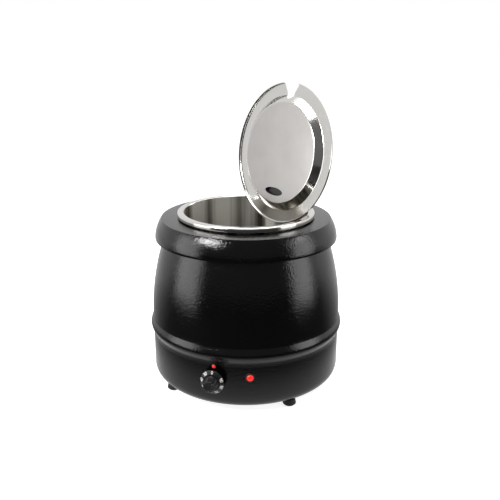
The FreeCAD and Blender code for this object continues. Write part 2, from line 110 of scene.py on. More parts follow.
def grained(name, dark, light, rough, grain, depth, settings):
    """A material whose colour wanders between two, with a grain of this size and depth in mm."""
    made, tree, shader, where = material(name, dark, settings)
    cloud = add(tree, "ShaderNodeTexNoise", {
        "Scale": per(grain * CLOUD_GRAINS), "Detail": 3.0}, {"Vector": (where, "Object")})
    tint = add(tree, "ShaderNodeMix", {
        "data_type": "RGBA", MIX_A: linear(dark), MIX_B: linear(light)}, {0: (cloud, 0)})
    gloss = add(tree, "ShaderNodeMapRange", {"To Min": rough[0], "To Max": rough[1]}, {"Value": (cloud, 0)})
    bumps = add(tree, "ShaderNodeTexNoise", {
        "Scale": per(grain), "Detail": 1.0}, {"Vector": (where, "Object")})
    relief = add(tree, "ShaderNodeBump", {"Strength": 1.0, "Distance": depth * MM}, {"Height": (bumps, 0)})
    add(tree, shader, links={
        "Base Color": (tint, MIX_RESULT), "Roughness": (gloss, 0), "Normal": (relief, 0)})
    return made


# Textured stoving enamel on pressed steel: near black, its pebbled skin breaks up each soft highlight.
# The real grain is finer, and is drawn at 2.6 mm so that it shows.
enamel = grained("black_pebbled_enamel", "030303", "070707", (0.1, 0.17), 2.6, 0.36, {"IOR": 1.5})

# Polished stainless steel of the pot's rim, the lid's flange and its handle: bright, with faint wiping marks
bright_steel, tree, shader, where = material(
    "polished_stainless_steel", "D8D6D2", {"Metallic": 1.0, "Roughness": 0.12})
wipes = add(tree, "ShaderNodeTexNoise", {
    "Scale": per(14), "Detail": 6.0, "Distortion": 1.5}, {"Vector": (where, "Object")})
gloss = add(tree, "ShaderNodeMapRange", {"To Min": 0.07, "To Max": 0.2}, {"Value": (wipes, 0)})
add(tree, shader, links={"Roughness": (gloss, 0)})

# Deep drawn stainless steel of the pot and the well: satin, with broad upright streaks down the wall
# and a plain bottom. The streaks are painted reflections: dark and light bands in the colour, which also
# change the roughness and the bump a little. The heating element has it too.
STREAK_WIDTH, STREAK_STRETCH, STREAKS_FROM, STREAKS_FULL = 34, 0.02, 76, 100
drawn_steel, tree, shader, where = material(
    "drawn_stainless_steel", "A39D92", {"Metallic": 1.0, "Roughness": 0.3})
upright = add(tree, "ShaderNodeMapping", {"Scale": (1.0, 1.0, STREAK_STRETCH)}, {"Vector": (where, "Object")})
streaks = add(tree, "ShaderNodeTexNoise", {
    "Scale": per(STREAK_WIDTH), "Detail": 3.0, "Roughness": 0.55}, {"Vector": (upright, 0)})
upward = add(tree, "ShaderNodeSeparateXYZ", links={0: (where, "Object")})
wall = add(tree, "ShaderNodeMapRange", {
    "From Min": STREAKS_FROM * MM, "From Max": STREAKS_FULL * MM}, {"Value": (upward, "Z")})
streaks_and_painted_reflections = add(tree, "ShaderNodeMapRange", {
    "From Min": 0.42, "From Max": 0.58}, {"Value": (streaks, 0), "To Max": (wall, 0)})
# Painted reflections: each streak runs from dark to light steel in the colour
tint = add(tree, "ShaderNodeMix", {
    "data_type": "RGBA", MIX_A: linear("6F6B63"), MIX_B: linear("E6E4DE")}, {0: (streaks_and_painted_reflections, 0)})
gloss = add(tree, "ShaderNodeMapRange", {"To Min": 0.28, "To Max": 0.5}, {"Value": (streaks_and_painted_reflections, 0)})
relief = add(tree, "ShaderNodeBump", {"Strength": 0.3, "Distance": 0.03 * MM}, {"Height": (streaks_and_painted_reflections, 0)})
add(tree, shader, links={"Base Color": (tint, MIX_RESULT), "Roughness": (gloss, 0), "Normal": (relief, 0)})

# Pressed stainless steel of the lid's middle: satin, with the faint rings that a polishing wheel leaves
ringed_steel, tree, shader, where = material(
    "ringed_stainless_steel", "C9C6C3", {"Metallic": 1.0, "Roughness": 0.3})
on_lid = add(tree, "ShaderNodeMapping", {
    "vector_type": "TEXTURE",
    "Location": LID_CENTRE * MM,
    "Rotation": LID_PLACE.to_euler()}, {"Vector": (where, "Object")})
flat = add(tree, "ShaderNodeVectorMath", {"operation": "MULTIPLY", 1: (1.0, 1.0, 0.0)}, {0: (on_lid, 0)})
reach = add(tree, "ShaderNodeVectorMath", {"operation": "LENGTH"}, {0: (flat, 0)})
rings = add(tree, "ShaderNodeTexNoise", {
    "noise_dimensions": "1D", "Scale": per(1.8), "Detail": 3.0}, {"W": (reach, "Value")})
cloud = add(tree, "ShaderNodeTexNoise", {"Scale": per(45), "Detail": 3.0}, {"Vector": (on_lid, 0)})
tint = add(tree, "ShaderNodeMix", {
    "data_type": "RGBA", MIX_A: linear("B2AFAD"), MIX_B: linear("C8C5C3")}, {0: (cloud, 0)})
gloss = add(tree, "ShaderNodeMapRange", {"To Min": 0.27, "To Max": 0.36}, {"Value": (rings, 0)})
relief = add(tree, "ShaderNodeBump", {"Strength": 0.12, "Distance": 0.01 * MM}, {"Height": (rings, 0)})
add(tree, shader, links={"Base Color": (tint, MIX_RESULT), "Roughness": (gloss, 0), "Normal": (relief, 0)})

# Zinc plated steel sheet: dull bluish grey with a faint spangle
zinc = grained("zinc_plated_steel", "8E9296", "A8ACB0", (0.35, 0.5), 2.0, 0.02, {"Metallic": 1.0})
# Moulded rubber of the feet: matt and slightly dusty
rubber = grained("moulded_black_rubber", "0E0E0E", "1B1B1A", (0.65, 0.85), 0.8, 0.05, {"IOR": 1.52})
# Sand cast aluminium of the heater: pale and pitted
cast = grained("cast_aluminium", "A5A5A6", "BCBCBD", (0.45, 0.6), 1.2, 0.08, {"Metallic": 1.0})
# Moulded white nylon of the electrical parts: creamy, with a dull sheen
white_nylon = grained("moulded_white_nylon", "D6D3C8", "E2DFD6", (0.4, 0.55), 0.8, 0.02, {"IOR": 1.53})
# Mineral wool blanket: matt, yellowish and fibrous
wool = grained("mineral_wool", "B9A878", "D3C493", (0.9, 1.0), 3.0, 0.8, {"IOR": 1.45})
# Moulded phenolic of the knob: black and glossy, a little duller in patches
phenolic = grained("moulded_black_phenolic", "0B0B0B", "131313", (0.24, 0.36), 1.2, 0.015, {"IOR": 1.6})
# Moulded black nylon of the gland, the lamps' bezels and the lid's finger cup: satin black
black_nylon = grained("moulded_black_nylon", "0F0F10", "18181A", (0.42, 0.55), 0.7, 0.02, {"IOR": 1.53})
# Paint printed into the dial's figures: matt white. Its weak glow is painted light, so that they read on the
# dark dial
figure_paint_and_painted_glow = grained("white_dial_paint_and_painted_glow", "DEDCD6", "EDEBE6", (0.45, 0.6), 0.5, 0.01, {
    "IOR": 1.5, "Emission Color": linear("FFFFFF"), "Emission Strength": 0.2})
# Clear red moulded lens over a lit lamp: glossy, with an even glow
lens_red = grained("lit_red_lens", "C21512", "E0281F", (0.15, 0.25), 1.0, 0.02, {
    "IOR": 1.49, "Emission Color": linear("F2302A"), "Emission Strength": 0.75})


# Shapes


def bow(start, stop, bend, steps=24):
    """Points between two ends of a side that bows to the right of its way, on a circle of radius bend."""
    start, stop = Vector(start), Vector(stop)
    along = stop - start
    right = Vector((along.y, -along.x)).normalized()
    rest = math.sqrt(bend ** 2 - along.length_squared / 4)
    points = []
    for step in range(1, steps):
        share = step / steps
        sag = math.sqrt(bend ** 2 - (along.length * (share - 0.5)) ** 2) - rest
        points.append((*(start + along * share + right * sag), 0))
    return points


def rounded(corners, closed=False, steps=8):
    """The points of an outline whose corners (across, up, radius) are rounded."""
    points = []
    last = len(corners) - 1
    for index, (across, up, radius) in enumerate(corners):
        here = Vector((across, up))
        if not radius or (not closed and index in (0, last)):
            points.append(here)
            continue
        back = (Vector(corners[index - 1][:2]) - here).normalized()
        ahead = (Vector(corners[(index + 1) % len(corners)][:2]) - here).normalized()
        half = back.angle(ahead) / 2
        centre = here + (back + ahead).normalized() * radius / math.sin(half)
        first, final = (here + way * radius / math.tan(half) - centre for way in (back, ahead))
        begin = math.atan2(first.y, first.x)
        sweep = (math.atan2(final.y, final.x) - begin + math.pi) % (2 * math.pi) - math.pi
        for step in range(steps + 1):
            angle = begin + sweep * step / steps
            points.append(centre + Vector((math.cos(angle), math.sin(angle))) * radius)
    return points


def pressed(path, wall):
    """The outline of a sheet of this thickness: one side follows a path, with the metal to its left."""
    inner = []
    for index, point in enumerate(path):
        ways = [(path[i + 1] - path[i]).normalized() for i in (index - 1, index) if 0 <= i < len(path) - 1]
        left = sum((Vector((-way.y, way.x)) for way in ways), Vector((0, 0))).normalized()
        inner.append(point + left * wall / left.dot(Vector((-ways[0].y, ways[0].x))))
    return path + inner[::-1]


def smooth(mesh):
    """Smooth shading, with edges left sharp where the faces turn."""
    mesh.shade_smooth()
    mesh.set_sharp_from_angle(angle=math.radians(SHARP))


def piece(name, shape, *materials, place=Matrix()):
    """A new object from a bmesh in millimetres, put in its place."""
    mesh = bpy.data.meshes.new(name)
    shape.to_mesh(mesh)
    shape.free()
    mesh.transform(place @ Matrix.Scale(MM, 4))
    smooth(mesh)
    for finish in materials:
        mesh.materials.append(finish)
    made = bpy.data.objects.new(name, mesh)
    bpy.context.scene.collection.objects.link(made)
    return made


def turned(name, outline, *materials, place=Matrix(), steps=ROUND, swell=None):
    """A closed outline of (radius, height) points turned about Z. swell changes the radius."""
    pairs = list(zip(outline, outline[1:] + outline[:1]))
    if sum(a.x * b.y - b.x * a.y for a, b in pairs) < 0:
        outline = outline[::-1]
    shape = bmesh.new()
    rings = []
    for radius, height in outline:
        if radius < ON_AXIS:
            rings.append([shape.verts.new((0, 0, height))])
            continue
        ring = []
        for step in range(steps):
            angle = 2 * math.pi * step / steps
            reach = swell(radius, height, angle) if swell else radius
            ring.append(shape.verts.new((reach * math.cos(angle), reach * math.sin(angle), height)))
        rings.append(ring)
    for lower, upper in zip(rings, rings[1:] + rings[:1]):
        for step in range(steps):
            corners = []
            for ring, more in ((lower, 0), (lower, 1), (upper, 1), (upper, 0)):
                corner = ring[(step + more) % len(ring)]
                if corner not in corners:
                    corners.append(corner)
            if len(corners) > 2:
                shape.faces.new(corners)
    return piece(name, shape, *materials, place=place)


def prism(name, outline, low, high):
    """A closed outline of (x, y) points, raised from one height to another."""
    shape = bmesh.new()
    floor = [shape.verts.new((x, y, low)) for x, y in outline]
    roof = [shape.verts.new((x, y, high)) for x, y in outline]
    shape.faces.new(floor[::-1])
    shape.faces.new(roof)
    for index in range(len(outline)):
        after = (index + 1) % len(outline)
        shape.faces.new((floor[index], floor[after], roof[after], roof[index]))
    bmesh.ops.recalc_face_normals(shape, faces=shape.faces)
    return piece(name, shape)


def bake(made):
    """Make an object's modifiers part of its mesh."""
    graph = bpy.context.evaluated_depsgraph_get()
    mesh = bpy.data.meshes.new_from_object(made.evaluated_get(graph))
    made.modifiers.clear()
    made.data = mesh
    smooth(mesh)
    return made


def carve(made, tools):
    """Cut tools out of a piece, and take the tools away."""
    for tool in tools:
        cutting = made.modifiers.new("cut", "BOOLEAN")
        cutting.solver = "EXACT"
        cutting.operation = "DIFFERENCE"
        cutting.object = tool
    bake(made)
    for tool in tools:
        bpy.data.objects.remove(tool)
    shape = bmesh.new()
    shape.from_mesh(made.data)
    bmesh.ops.remove_doubles(shape, verts=shape.verts, dist=MERGE * MM)
    shape.to_mesh(made.data)
    shape.free()
    return made


def facing(azimuth, radius, height):
    """The place of a piece on the kettle's wall: X to the right and Y up as one faces it, Z outwards."""
    angle = math.radians(azimuth)
    out = Vector((math.cos(angle), math.sin(angle), 0))
    right = Vector((-math.sin(angle), math.cos(angle), 0))
    turn = Matrix((right, (0, 0, 1), out)).transposed().to_4x4()
    return Matrix.Translation((out * radius + Vector((0, 0, height))) * MM) @ turn


def copies_tree():
    """Geometry nodes that copy a piece's own mesh about Z, from a first angle by equal steps."""
    tree = bpy.data.node_groups.new("copies_about_axis", "GeometryNodeTree")
    for name, kind, way in (
            ("Geometry", "Geometry", "INPUT"),
            ("Count", "Int", "INPUT"),
            ("First angle", "Float", "INPUT"),
            ("Angle step", "Float", "INPUT"),
            ("Finish", "Material", "INPUT"),
            ("Geometry", "Geometry", "OUTPUT")):
        tree.interface.new_socket(name, in_out=way, socket_type="NodeSocket" + kind)
    given = add(tree, "NodeGroupInput")
    points = add(tree, "GeometryNodePoints", links={"Count": (given, "Count")})
    index = add(tree, "GeometryNodeInputIndex")
    angle = add(tree, "ShaderNodeMath", {"operation": "MULTIPLY_ADD"}, {
        0: (index, 0), 1: (given, "Angle step"), 2: (given, "First angle")})
    turn = add(tree, "ShaderNodeCombineXYZ", links={"Z": (angle, 0)})
    copies = add(tree, "GeometryNodeInstanceOnPoints", links={
        "Points": (points, 0), "Instance": (given, "Geometry"), "Rotation": (turn, 0)})
    whole = add(tree, "GeometryNodeRealizeInstances", links={"Geometry": (copies, 0)})
    finish = add(tree, "GeometryNodeSetMaterial", links={
        "Geometry": (whole, 0), "Material": (given, "Finish")})
    add(tree, "NodeGroupOutput", links={"Geometry": (finish, 0)})
    return tree


COPIES = copies_tree()


def copied(made, count, first, finish):
    """Copies of a piece, evenly spaced about Z from a first angle in degrees, as one mesh."""
    repeat = made.modifiers.new("copies", "NODES")
    repeat.node_group = COPIES
    values = {
        "Count": count,
        "First angle": math.radians(first),
        "Angle step": 2 * math.pi / count,
        "Finish": finish}
    for socket in COPIES.interface.items_tree:
        if socket.in_out == "INPUT" and socket.name in values:
            repeat[socket.identifier] = values[socket.name]
    return bake(made)


def settle(made, body, slot, *nodes):
    """The finished piece moves with a body and stands for CAD nodes, which it hides. The slot is not used."""
    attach(made, body)
    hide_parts(*nodes)


# Barrel: turned in at the foot, a pressed bead round it, and a full curve up to the collar
BEAD_LOW, BEAD_HIGH, BEAD_DEPTH, BEAD_FLARE, BEAD_STEPS = 94.0, 120.0, 4.5, 1.3, 24
BARREL_LOW, FOOT_EDGE, FOOT_BEND, BARREL_WALL = 12.0, 118.0, 18.5, 1.2
BARREL_TOP, BARREL_TOP_RADIUS, BARREL_BEND = 292.5, 129.4, 407.0
WALL_ROWS = range(38, 92, 6)
bead = []
for step in range(BEAD_STEPS + 1):
    share = step / BEAD_STEPS
    out = BEAD_DEPTH * math.sin(math.pi * share) ** BEAD_FLARE
    bead.append((BASE_RADIUS + out, BEAD_LOW + (BEAD_HIGH - BEAD_LOW) * share, 0))
barrel = turned("barrel", pressed(rounded([
    (FOOT_EDGE, BARREL_LOW, 0),
    (BASE_RADIUS, BARREL_LOW, FOOT_BEND),
    *((BASE_RADIUS, height, 0) for height in WALL_ROWS),
    *bead,
    *bow((BASE_RADIUS, BEAD_HIGH), (BARREL_TOP_RADIUS, BARREL_TOP), BARREL_BEND),
    (BARREL_TOP_RADIUS, BARREL_TOP, 0),
]), BARREL_WALL), enamel)
DRILL_REACH = 8
holes = []
for azimuth, height, radius in (
        (CONTROL, CONTROL_HEIGHT, 5.2),
        (LAMP, LAMP_HEIGHT, 6.2),
        (CONTROL, PILOT_HEIGHT, 3.2),
        (GLAND, GLAND_HEIGHT, 8.2)):
    drill = [Vector((0, -DRILL_REACH)), Vector((radius, -DRILL_REACH))]
    drill += [Vector((radius, DRILL_REACH)), Vector((0, DRILL_REACH))]
    holes.append(turned("drill", drill, place=facing(azimuth, BASE_RADIUS, height), steps=SMALL_ROUND))
settle(carve(barrel, holes), "kettle", "black_enamel", "outer_shell")

# Collar: flat on top with a crisp edge, and a full skirt that ends in a short hem
HEM_RADIUS, HEM_LOW, SKIRT_RADIUS, SKIRT_LOW, SKIRT_BEND = 157.0, 260.0, 157.5, 263.0, 64.0
COLLAR_EDGE, COLLAR_TOP, COLLAR_ROUND, COLLAR_MOUTH, COLLAR_WALL = 146.0, 295.0, 1.6, 111.5, 1.5
settle(turned("collar_cap", pressed(rounded([
    (HEM_RADIUS, HEM_LOW, 0),
    (SKIRT_RADIUS, SKIRT_LOW, 0),
    *bow((SKIRT_RADIUS, SKIRT_LOW), (COLLAR_EDGE, COLLAR_TOP), SKIRT_BEND),
    (COLLAR_EDGE, COLLAR_TOP, COLLAR_ROUND),
    (COLLAR_MOUTH, COLLAR_TOP, 0),
]), COLLAR_WALL), enamel), "kettle", "black_enamel", "collar")

# Well: the steel water tank, with the neck that carries the pot
TANK_RADIUS, TANK_LOW, BRIM_RADIUS, NECK_RADIUS, NECK_TOP, WELL_WALL = 125.0, 54.0, 138.0, 110.5, 304.0, 1.0
BRIM_TOP = BARREL_TOP + WELL_WALL
settle(turned("water_well", rounded([
    (0, TANK_LOW, 0),
    (TANK_RADIUS, TANK_LOW, 6.0),
    (TANK_RADIUS, BARREL_TOP, 0.8),
    (BRIM_RADIUS, BARREL_TOP, 0.3),
    (BRIM_RADIUS, BRIM_TOP, 0.3),
    (NECK_RADIUS, BRIM_TOP, 0.8),
    (NECK_RADIUS, NECK_TOP, 0.4),
    (NECK_RADIUS - WELL_WALL, NECK_TOP, 0.4),
    (NECK_RADIUS - WELL_WALL, BARREL_TOP, 0.3),
    (TANK_RADIUS - WELL_WALL, BARREL_TOP, 0.8),
    (TANK_RADIUS - WELL_WALL, TANK_LOW + WELL_WALL, 5.0),
    (0, TANK_LOW + WELL_WALL, 0),
], closed=True), drawn_steel), "kettle", "satin_steel", "wet_well")

# Pot: drawn steel, hung by a polished rolled rim
POT_RADIUS, POT_MIDDLE, POT_LOW, POT_CORNER, POT_WALL = 107.0, 200.0, 70.8, 22.0, 0.8
RIM_RADIUS, RIM_TOP, RIM_LOW, RIM_HEM = 118.5, 305.0, 297.0, 2.4
POLISHED_DROP, POLISHED_OUT = 2.2, 3.0
pot = turned("steel_pot", pressed(rounded([
    (RIM_RADIUS - RIM_HEM, RIM_LOW, 0),
    (RIM_RADIUS, RIM_LOW, 1.2),
    (RIM_RADIUS, RIM_TOP, 3.2),
    (POT_RADIUS, RIM_TOP, 2.0),
    (POT_RADIUS, POT_MIDDLE, 0),
    (POT_RADIUS, POT_LOW, POT_CORNER),
    (0, POT_LOW, 0),
]), POT_WALL), drawn_steel, bright_steel)
for face in pot.data.polygons:
    on_top = face.center.z > (RIM_TOP - POLISHED_DROP) * MM
    outside = face.center.xy.length > (POT_RADIUS + POLISHED_OUT) * MM
    face.material_index = int(on_top or outside)
settle(pot, "pot", "polished_steel", "inner_pot")

# Lid: a sunk middle, a rolled lip, a notch for the ladle and an oval slot
LID_RADIUS, LID_WALL, LID_LIP, LID_SINK = 122.0, 0.8, -4.0, 10.0
FLANGE_INNER, STEP_FOOT, STEP_ROUND, SATIN_RADIUS = 100.2, 88.2, 3.0, 86.5
SUNK = LID_WALL - LID_SINK
lid = turned("steel_lid", pressed(rounded([
    (LID_RADIUS, LID_LIP, 0),
    (LID_RADIUS, LID_WALL, 2.2),
    (FLANGE_INNER, LID_WALL, STEP_ROUND),
    (STEP_FOOT, SUNK, STEP_ROUND),
    (0, SUNK, 0),
]), LID_WALL), ringed_steel, bright_steel)
NOTCH_FOOT, NOTCH_HALF, NOTCH_FAR, NOTCH_FAR_HALF, NOTCH_STEPS = 103.0, 9.0, 141.0, 32.0, 16
SLOT_REACH, SLOT_HALF, SLOT_LONG, SLOT_STEPS = -68.0, 7.0, 23.0, 64
CUT_REACH = 20
notch = [(NOTCH_FAR, -NOTCH_FAR_HALF), (NOTCH_FAR, NOTCH_FAR_HALF)]
for step in range(NOTCH_STEPS + 1):
    angle = math.pi / 2 + math.pi * step / NOTCH_STEPS
    notch.append((NOTCH_FOOT + NOTCH_HALF * math.cos(angle), NOTCH_HALF * math.sin(angle)))


def oval(grow):
    """The outline of the lid's oval slot, this much larger all round."""
    points = []
    for step in range(SLOT_STEPS):
        angle = 2 * math.pi * step / SLOT_STEPS
        points.append((
            SLOT_REACH + (SLOT_HALF + grow) * math.cos(angle),
            (SLOT_LONG + grow) * math.sin(angle)))
    return points


carve(lid, [prism("notch", notch, -CUT_REACH, CUT_REACH), prism("slot", oval(0), -CUT_REACH, CUT_REACH)])
for face in lid.data.polygons:
    face.material_index = int(face.center.xy.length > SATIN_RADIUS * MM)
lid.data.transform(LID_PLACE)
settle(lid, "lid", "polished_steel", "lid")

# Finger cup: a dark moulded cup that closes the oval from the outer side. Its section goes from the rim
# over the crown and back inside: how far each row lies outside the oval, and its height on the sunk middle.
CUP_RIM, CUP_DEPTH, CUP_WALL = 2.5, 7.0, 1.2
CUP_SECTION = (
    (CUP_RIM, 0),
    (CUP_RIM, CUP_WALL),
    (0.4, CUP_WALL),
    (-0.6, CUP_DEPTH),
    (-1.6, CUP_DEPTH - CUP_WALL),
    (-0.5, 0))
CROWN, CEILING = 3, 4
shape = bmesh.new()
rows = [[shape.verts.new((x, y, SUNK + height)) for x, y in oval(grow)] for grow, height in CUP_SECTION]
for row, lower in enumerate(rows):
    if row == CROWN:
        continue
    upper = rows[(row + 1) % len(rows)]
    for index in range(SLOT_STEPS):
        after = (index + 1) % SLOT_STEPS
        shape.faces.new((lower[index], lower[after], upper[after], upper[index]))
shape.faces.new(rows[CROWN])
shape.faces.new(rows[CEILING])
bmesh.ops.recalc_face_normals(shape, faces=shape.faces)
cup = piece("finger_cup", shape, black_nylon, place=LID_PLACE)
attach(cup, "lid")

# Lid handle: a bent strap on the sunk middle
STRAP_WIDTH, STRAP_WALL, STRAP_END, STRAP_LEG, STRAP_HEIGHT = 18.0, 2.5, 45.0, 29.5, 30.0
strap = pressed(rounded([
    (STRAP_END, STRAP_WALL, 0),
    (STRAP_LEG, STRAP_WALL, 3.0),
    (STRAP_LEG, STRAP_HEIGHT, 7.0),
    (-STRAP_LEG, STRAP_HEIGHT, 7.0),
    (-STRAP_LEG, STRAP_WALL, 3.0),
    (-STRAP_END, STRAP_WALL, 0),
]), STRAP_WALL)
shape = bmesh.new()
sides = []
for across in (-STRAP_WIDTH / 2, STRAP_WIDTH / 2):
    sides.append([shape.verts.new((across, point.x, point.y + SUNK)) for point in strap])
count = len(strap)
for index in range(count):
    after = (index + 1) % count
    shape.faces.new((sides[0][index], sides[0][after], sides[1][after], sides[1][index]))
for index in range(count // 2 - 1):
    for side in sides:
        shape.faces.new((side[index], side[index + 1], side[count - 2 - index], side[count - 1 - index]))
bmesh.ops.recalc_face_normals(shape, faces=shape.faces)
handle = piece("lid_strap", shape, bright_steel, place=LID_PLACE)
edge = handle.modifiers.new("edges", "BEVEL")
edge.width = 0.4 * MM
edge.segments = 2
edge.limit_method = "ANGLE"
settle(bake(handle), "lid", "polished_steel", "lid_handle")

# Knob: a dial skirt and a fluted grip with a dished top, on a blind bore for the shaft
FLUTES, FLUTE_DEPTH, FLUTES_LOW, FLUTES_INNER, KNOB_STEPS = 8, 1.9, 4.6, 6.0, 160
DIAL_EDGE, DIAL_EDGE_HEIGHT, DIAL_INNER, DIAL_TOP = 20.4, 1.0, 14.3, 4.0
GRIP_TOP, DISH_LOW, BORE_RADIUS, BORE_DEPTH = 19.0, 18.5, 3.05, 15.0


def fluted(radius, height, angle):
    """The radius of the grip with its flutes. The skirt, the bore and the dished top stay round."""
    if height < FLUTES_LOW or radius < FLUTES_INNER:
        return radius
    return radius - FLUTE_DEPTH * max(0.0, math.cos(FLUTES * angle)) ** 2


knob_place = facing(CONTROL, DIAL_SEAT, CONTROL_HEIGHT)
knob = turned("dial_knob", rounded([
    (BORE_RADIUS, 0, 0),
    (DIAL_EDGE, 0, 0.3),
    (DIAL_EDGE, DIAL_EDGE_HEIGHT, 0.4),
    (DIAL_INNER, DIAL_TOP, 0.8),
    (11.0, DIAL_TOP, 0.6),
    (10.9, 5.2, 0),
    (10.0, 17.6, 0),
    (9.6, GRIP_TOP, 1.4),
    (6.4, GRIP_TOP, 0.4),
    (6.2, DISH_LOW, 0.4),
    (0, DISH_LOW, 0),
    (0, BORE_DEPTH, 0),
    (BORE_RADIUS, BORE_DEPTH, 0),
], closed=True), phenolic, place=knob_place, steps=KNOB_STEPS, swell=fluted)
settle(knob, "knob", "black_phenolic", "control_knob")

# Figures round the dial, bent to its slope. Zero stands at the top and the rest follow as the knob turns.
FIGURES = ("0", "30", "40", "50", "60", "70", "80", "90")
FIRST_FIGURE, FIGURE_PITCH, FIGURE_HEIGHT, FIGURE_RADIUS = 88.0, 42.0, 6.6, 17.2
FIGURE_LIFT, PAINT_DEPTH, PAINT_SPREAD, FIGURE_MERGE = 0.06, 0.05, 0.05, 1e-4
slope = (DIAL_TOP - DIAL_EDGE_HEIGHT) / (DIAL_EDGE - DIAL_INNER)
shape = bmesh.new()
for index, text in enumerate(FIGURES):
    letters = bpy.data.curves.new("figure", "FONT")
    letters.body = text
    letters.size = FIGURE_HEIGHT
    letters.align_x = letters.align_y = "CENTER"
    letters.extrude = PAINT_DEPTH
    letters.offset = PAINT_SPREAD
    holder = bpy.data.objects.new("figure", letters)
    bpy.context.scene.collection.objects.link(holder)
    mesh = bpy.data.meshes.new_from_object(holder.evaluated_get(bpy.context.evaluated_depsgraph_get()))
    around = math.radians(FIRST_FIGURE + FIGURE_PITCH * index)
    for corner in mesh.vertices:
        radius = FIGURE_RADIUS + corner.co.y
        angle = around - corner.co.x / FIGURE_RADIUS
        height = DIAL_TOP - (radius - DIAL_INNER) * slope + FIGURE_LIFT + corner.co.z
        corner.co = radius * math.cos(angle), radius * math.sin(angle), height
    shape.from_mesh(mesh)
    bpy.data.objects.remove(holder)
bmesh.ops.remove_doubles(shape, verts=shape.verts, dist=FIGURE_MERGE)
bmesh.ops.recalc_face_normals(shape, faces=shape.faces)
figures = piece("dial_figures", shape, figure_paint_and_painted_glow, place=knob_place)
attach(figures, "knob")

# Lamps: a domed lens in a round bezel, whose body goes through the barrel.
# The shares are of the body's radius.
LENS_SHARE, DOME_SHARE, BEZEL_SHARE, BODY_SHARE, DOME_STEPS = 0.93, 0.5, 1.35, 3, 12
BEZEL_HEIGHT, LENS_SEAT = 1.6, 1.5
for name, node, azimuth, height, radius in (
        ("lamp", "power_lamp", LAMP, LAMP_HEIGHT, 6.0),
        ("pilot", "heat_lamp", CONTROL, PILOT_HEIGHT, 3.0)):
    place = facing(azimuth, BASE_RADIUS + SEAT_GAP, height)
    lens, bezel = radius * LENS_SHARE, radius * BEZEL_SHARE
    dome = []
    for step in range(1, DOME_STEPS):
        angle = math.pi / 2 * step / DOME_STEPS
        dome.append((lens * math.cos(angle), BEZEL_HEIGHT + radius * DOME_SHARE * math.sin(angle), 0))
    settle(turned(name + "_dome", rounded([
        (0, BEZEL_HEIGHT, 0),
        (lens, BEZEL_HEIGHT, 0),
        *dome,
        (0, BEZEL_HEIGHT + radius * DOME_SHARE, 0),
    ], closed=True), lens_red, place=place, steps=SMALL_ROUND), "kettle", "red_lens", node + "_lens")
    settle(turned(name + "_bezel", rounded([
        (0, -radius * BODY_SHARE, 0),
        (radius, -radius * BODY_SHARE, radius / 8),
        (radius, 0, 0),
        (bezel, 0, 0.2),
        (bezel, BEZEL_HEIGHT, 0.7),
        (radius, BEZEL_HEIGHT, 0.15),
        (radius, LENS_SEAT, 0),
        (0, LENS_SEAT, 0),
    ], closed=True), black_nylon, place=place, steps=SMALL_ROUND), "kettle", "black_nylon", node + "_body")

# Gland at the back, with six softened flats for a spanner
FLATS, FLAT_DEPTH, FLATS_TOP, FLATS_INNER, GLAND_STEPS = 6, 0.045, 3.2, 9.0, 96
GLAND_BORE, GLAND_STEM, GLAND_COLLAR, GLAND_REACH = 3.6, 8.0, 11.2, 9.0


def flatted(radius, height, angle):
    """The radius of the gland's collar with its flats. The rest of the gland stays round."""
    if not 0 <= height <= FLATS_TOP or radius < FLATS_INNER:
        return radius
    return radius * (1 - FLAT_DEPTH + FLAT_DEPTH * math.cos(FLATS * angle))


gland_place = facing(GLAND, BASE_RADIUS + SEAT_GAP, GLAND_HEIGHT)
gland = turned("flex_gland", rounded([
    (GLAND_BORE, -GLAND_REACH, 0),
    (GLAND_STEM, -GLAND_REACH, 0.5),
    (GLAND_STEM, 0, 0),
    (GLAND_COLLAR, 0, 0.3),
    (GLAND_COLLAR, 3.0, 0.6),
    (8.4, 3.4, 0.3),
    (7.2, GLAND_REACH, 1.2),
    (GLAND_BORE, GLAND_REACH, 0.5),
], closed=True), black_nylon, place=gland_place, steps=GLAND_STEPS, swell=flatted)
settle(gland, "kettle", "black_nylon", "cable_gland")

# Feet and base screws, each made once and copied round the kettle
FOOT_CIRCLE, PEG_RADIUS, PEG_TOP = 146.0, 2.0, 15.2
foot = turned("rubber_feet", rounded([
    (0, 0.8, 0),
    (5.0, 0.8, 0.5),
    (5.6, 0, 0.3),
    (8.5, 0, 0.8),
    (11.5, 3.0, 1.5),
    (9.7, BARREL_LOW, 0.6),
    (PEG_RADIUS, BARREL_LOW, 0.2),
    (PEG_RADIUS, PEG_TOP, 0.5),
    (0, PEG_TOP, 0),
], closed=True), place=Matrix.Translation((FOOT_CIRCLE * MM, 0, 0)), steps=SMALL_ROUND)
settle(copied(foot, 4, FIRST_FOOT, rubber), "kettle", "black_rubber",
       "foot_front_right", "foot_back_right", "foot_back_left", "foot_front_left")
SCREW_CIRCLE, PLATE_LOW, SCREW_STEPS = 125.0, 10.8, 32
HEAD_RADIUS, HEAD_LOW, SHANK_RADIUS, TIP_TOP = 4.0, -2.0, 2.0, 6.4
CROSS_LONG, CROSS_NARROW, CROSS_LOW, CROSS_HIGH = 2.0, 0.45, -3.0, -1.2
screw = turned("plate_screws", rounded([
    (0, HEAD_LOW, 0),
    (2.6, HEAD_LOW, 0.4),
    (HEAD_RADIUS, -1.0, 0.5),
    (HEAD_RADIUS, 0, 0.2),
    (SHANK_RADIUS, 0, 0.2),
    (SHANK_RADIUS, 5.6, 0),
    (1.2, TIP_TOP, 0),
    (0, TIP_TOP, 0),
], closed=True), steps=SCREW_STEPS)
cross = []
for x, y in ((CROSS_LONG, CROSS_NARROW), (CROSS_NARROW, CROSS_LONG)):
    cross.append(prism("slot", [(-x, -y), (x, -y), (x, y), (-x, y)], CROSS_LOW, CROSS_HIGH))
carve(screw, cross)
